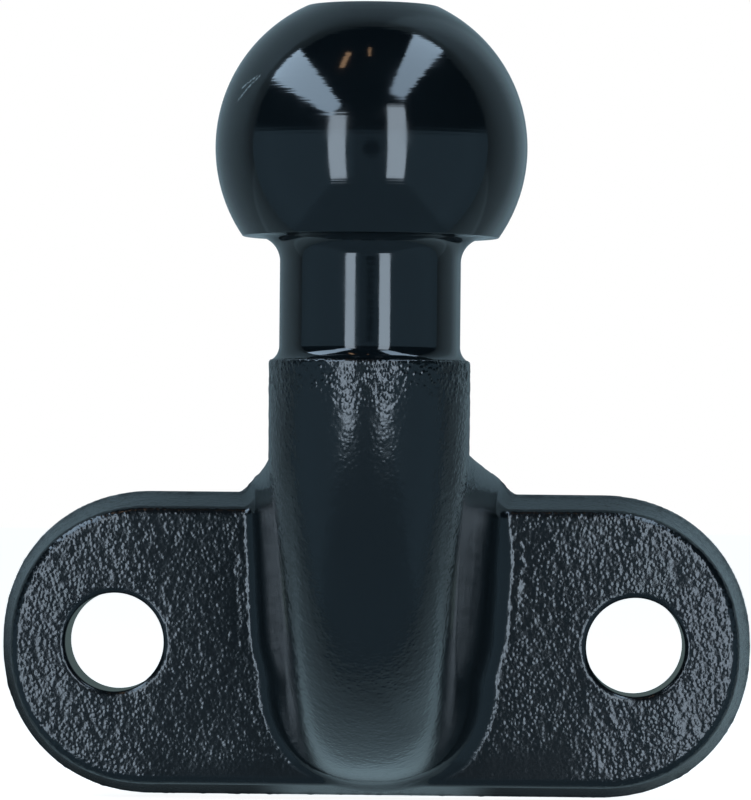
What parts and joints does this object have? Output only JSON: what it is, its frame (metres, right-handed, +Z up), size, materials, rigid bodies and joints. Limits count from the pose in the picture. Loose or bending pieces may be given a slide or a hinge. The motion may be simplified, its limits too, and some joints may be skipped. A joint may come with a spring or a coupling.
{
  "type": "flange tow ball",
  "caption": "Forged tow ball: a 50 mm coupling ball on a turned neck and curved stem, rising in front of a round-ended flange with bolt holes, painted black.",
  "frame": {"origin": "middle of the two bolt holes, on the flat mounting face", "axes": "+Z up towards the ball, +Y out of the mounting face into the bracket so that the ball stands on the -Y side, +X to the right as seen by someone who faces the ball"},
  "size_m": [0.1314, 0.105, 0.1318],
  "materials": {
    "turned_paint": "smooth glossy black paint over turned steel",
    "forged_paint": "glossy black paint over a rough, scaled forging skin"
  },
  "bodies": {
    "root": {"ball": "turned_paint", "neck": "turned_paint", "stem": "forged_paint", "flange": "forged_paint"}
  },
  "joints": []
}
